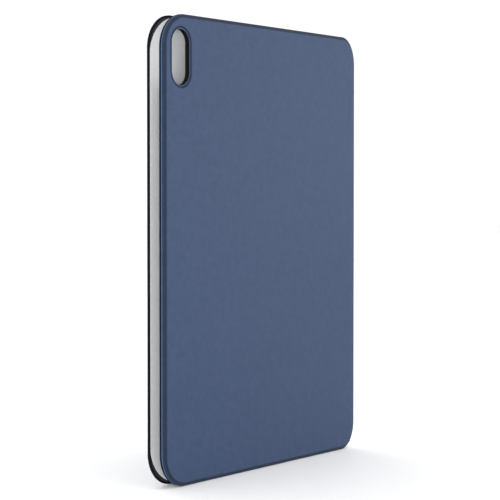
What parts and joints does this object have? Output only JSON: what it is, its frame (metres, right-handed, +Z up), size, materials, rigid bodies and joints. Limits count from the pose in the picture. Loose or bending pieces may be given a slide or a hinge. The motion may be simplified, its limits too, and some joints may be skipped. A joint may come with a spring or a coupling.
{
  "type": "tablet keyboard case",
  "caption": "Slim folio case for a tablet: padded back cover with camera cut-out, folding spine with friction hinges, and a thin keyboard deck with keys and trackpad.",
  "frame": {"origin": "middle of the closed case's base, where it stands on its short edge", "axes": "+Z up along the long side and the hinge axes, +X from the free edge to the spine, +Y from the back cover to the keyboard deck"},
  "size_m": [0.1834, 0.0134, 0.249],
  "materials": {
    "outer_leather": "fine grained coated leather, slate blue",
    "lining": "short microfibre nap, light grey",
    "board_core": "glass-filled sheet with dark painted edge",
    "black_trim": "fine matte",
    "key_caps": "fine matte",
    "key_frame": "fine matte",
    "trackpad": "etched satin",
    "base_plate": "plain sheet",
    "hinge_steel": "ground",
    "contact_gold": "polished",
    "ribbon": "satin",
    "rubber_sheet": "matte",
    "membrane": "satin",
    "circuit_board": "solder resist"
  },
  "bodies": {
    "keyboard_deck": {"base_hinge_leaves": "hinge_steel", "base_flex": "ribbon", "base_skin": "outer_leather", "base_plate": "base_plate", "deck_lining": "lining", "key_frame": "key_frame", "dome_sheet": "rubber_sheet", "membrane_circuit": "membrane", "key_scissors": "membrane", "controller_board": "circuit_board", "deck_magnets": "hinge_steel", "trackpad_bracket": "hinge_steel", "trackpad_switch": "black_trim"},
    "spine": {"cover_hinge_pins": "hinge_steel", "hinge_links": "hinge_steel", "base_hinge_pins": "hinge_steel", "spine_core": "board_core", "spine_skin": "outer_leather", "spine_lining": "lining", "spine_flex": "ribbon"},
    "back_cover": {"cover_skin": "outer_leather", "cover_board": "board_core", "cover_lining": "lining", "camera_liner": "black_trim", "cover_magnets": "hinge_steel", "contact_block": "black_trim", "contact_pins": "contact_gold", "cover_flex": "ribbon", "cover_hinge_leaves": "hinge_steel"},
    "trackpad": {"trackpad": "trackpad"},
    "key_delete": {"key_delete": "key_caps"},
    "key_tab": {"key_tab": "key_caps"},
    "key_backslash": {"key_backslash": "key_caps"},
    "key_caps_lock": {"key_caps_lock": "key_caps"},
    "key_return": {"key_return": "key_caps"},
    "key_left_shift": {"key_left_shift": "key_caps"},
    "key_right_shift": {"key_right_shift": "key_caps"},
    "key_function": {"key_function": "key_caps"},
    "key_control": {"key_control": "key_caps"},
    "key_left_alt": {"key_left_alt": "key_caps"},
    "key_left_meta": {"key_left_meta": "key_caps"},
    "key_right_meta": {"key_right_meta": "key_caps"},
    "key_right_alt": {"key_right_alt": "key_caps"},
    "key_arrow_left": {"key_arrow_left": "key_caps"},
    "key_arrow_up": {"key_arrow_up": "key_caps"},
    "key_arrow_down": {"key_arrow_down": "key_caps"},
    "key_arrow_right": {"key_arrow_right": "key_caps"},
    "space_bar": {"space_bar": "key_caps"},
    "number_keys": {"number_keys": "key_caps"},
    "upper_letter_keys": {"upper_letter_keys": "key_caps"},
    "home_letter_keys": {"home_letter_keys": "key_caps"},
    "lower_letter_keys": {"lower_letter_keys": "key_caps"}
  },
  "joints": [
    {"name": "base_fold", "type": "hinge", "parent": "keyboard_deck", "child": "spine", "pos_m": [0.08985, 0.0036, 0.1245], "axis": [0, 0, 1], "range_deg": [0, 90]},
    {"name": "cover_fold", "type": "hinge", "parent": "spine", "child": "back_cover", "pos_m": [0.08985, -0.00475, 0.1245], "axis": [0, 0, 1], "range_deg": [0, 90]},
    {"name": "key_delete_press", "type": "slide", "parent": "keyboard_deck", "child": "key_delete", "axis": [0, 1, 0], "range_m": [0, 0.0009], "stiffness_N_per_m": 600, "springref_m": -0.0003},
    {"name": "key_tab_press", "type": "slide", "parent": "keyboard_deck", "child": "key_tab", "axis": [0, 1, 0], "range_m": [0, 0.0009], "stiffness_N_per_m": 600, "springref_m": -0.0003},
    {"name": "key_backslash_press", "type": "slide", "parent": "keyboard_deck", "child": "key_backslash", "axis": [0, 1, 0], "range_m": [0, 0.0009], "stiffness_N_per_m": 600, "springref_m": -0.0003},
    {"name": "key_caps_lock_press", "type": "slide", "parent": "keyboard_deck", "child": "key_caps_lock", "axis": [0, 1, 0], "range_m": [0, 0.0009], "stiffness_N_per_m": 600, "springref_m": -0.0003},
    {"name": "key_return_press", "type": "slide", "parent": "keyboard_deck", "child": "key_return", "axis": [0, 1, 0], "range_m": [0, 0.0009], "stiffness_N_per_m": 600, "springref_m": -0.0003},
    {"name": "key_left_shift_press", "type": "slide", "parent": "keyboard_deck", "child": "key_left_shift", "axis": [0, 1, 0], "range_m": [0, 0.0009], "stiffness_N_per_m": 600, "springref_m": -0.0003},
    {"name": "key_right_shift_press", "type": "slide", "parent": "keyboard_deck", "child": "key_right_shift", "axis": [0, 1, 0], "range_m": [0, 0.0009], "stiffness_N_per_m": 600, "springref_m": -0.0003},
    {"name": "key_function_press", "type": "slide", "parent": "keyboard_deck", "child": "key_function", "axis": [0, 1, 0], "range_m": [0, 0.0009], "stiffness_N_per_m": 600, "springref_m": -0.0003},
    {"name": "key_control_press", "type": "slide", "parent": "keyboard_deck", "child": "key_control", "axis": [0, 1, 0], "range_m": [0, 0.0009], "stiffness_N_per_m": 600, "springref_m": -0.0003},
    {"name": "key_left_alt_press", "type": "slide", "parent": "keyboard_deck", "child": "key_left_alt", "axis": [0, 1, 0], "range_m": [0, 0.0009], "stiffness_N_per_m": 600, "springref_m": -0.0003},
    {"name": "key_left_meta_press", "type": "slide", "parent": "keyboard_deck", "child": "key_left_meta", "axis": [0, 1, 0], "range_m": [0, 0.0009], "stiffness_N_per_m": 600, "springref_m": -0.0003},
    {"name": "key_right_meta_press", "type": "slide", "parent": "keyboard_deck", "child": "key_right_meta", "axis": [0, 1, 0], "range_m": [0, 0.0009], "stiffness_N_per_m": 600, "springref_m": -0.0003},
    {"name": "key_right_alt_press", "type": "slide", "parent": "keyboard_deck", "child": "key_right_alt", "axis": [0, 1, 0], "range_m": [0, 0.0009], "stiffness_N_per_m": 600, "springref_m": -0.0003},
    {"name": "key_arrow_left_press", "type": "slide", "parent": "keyboard_deck", "child": "key_arrow_left", "axis": [0, 1, 0], "range_m": [0, 0.0009], "stiffness_N_per_m": 600, "springref_m": -0.0003},
    {"name": "key_arrow_up_press", "type": "slide", "parent": "keyboard_deck", "child": "key_arrow_up", "axis": [0, 1, 0], "range_m": [0, 0.0009], "stiffness_N_per_m": 600, "springref_m": -0.0003},
    {"name": "key_arrow_down_press", "type": "slide", "parent": "keyboard_deck", "child": "key_arrow_down", "axis": [0, 1, 0], "range_m": [0, 0.0009], "stiffness_N_per_m": 600, "springref_m": -0.0003},
    {"name": "key_arrow_right_press", "type": "slide", "parent": "keyboard_deck", "child": "key_arrow_right", "axis": [0, 1, 0], "range_m": [0, 0.0009], "stiffness_N_per_m": 600, "springref_m": -0.0003},
    {"name": "space_bar_press", "type": "slide", "parent": "keyboard_deck", "child": "space_bar", "axis": [0, 1, 0], "range_m": [0, 0.0009], "stiffness_N_per_m": 600, "springref_m": -0.0003},
    {"name": "number_keys_press", "type": "slide", "parent": "keyboard_deck", "child": "number_keys", "axis": [0, 1, 0], "range_m": [0, 0.0009], "stiffness_N_per_m": 7800, "springref_m": -0.0003},
    {"name": "upper_letter_keys_press", "type": "slide", "parent": "keyboard_deck", "child": "upper_letter_keys", "axis": [0, 1, 0], "range_m": [0, 0.0009], "stiffness_N_per_m": 7200, "springref_m": -0.0003},
    {"name": "home_letter_keys_press", "type": "slide", "parent": "keyboard_deck", "child": "home_letter_keys", "axis": [0, 1, 0], "range_m": [0, 0.0009], "stiffness_N_per_m": 6600, "springref_m": -0.0003},
    {"name": "lower_letter_keys_press", "type": "slide", "parent": "keyboard_deck", "child": "lower_letter_keys", "axis": [0, 1, 0], "range_m": [0, 0.0009], "stiffness_N_per_m": 6000, "springref_m": -0.0003},
    {"name": "trackpad_click", "type": "slide", "parent": "keyboard_deck", "child": "trackpad", "axis": [0, 1, 0], "range_m": [0, 0.00025], "stiffness_N_per_m": 4000, "springref_m": -0.0001}
  ]
}
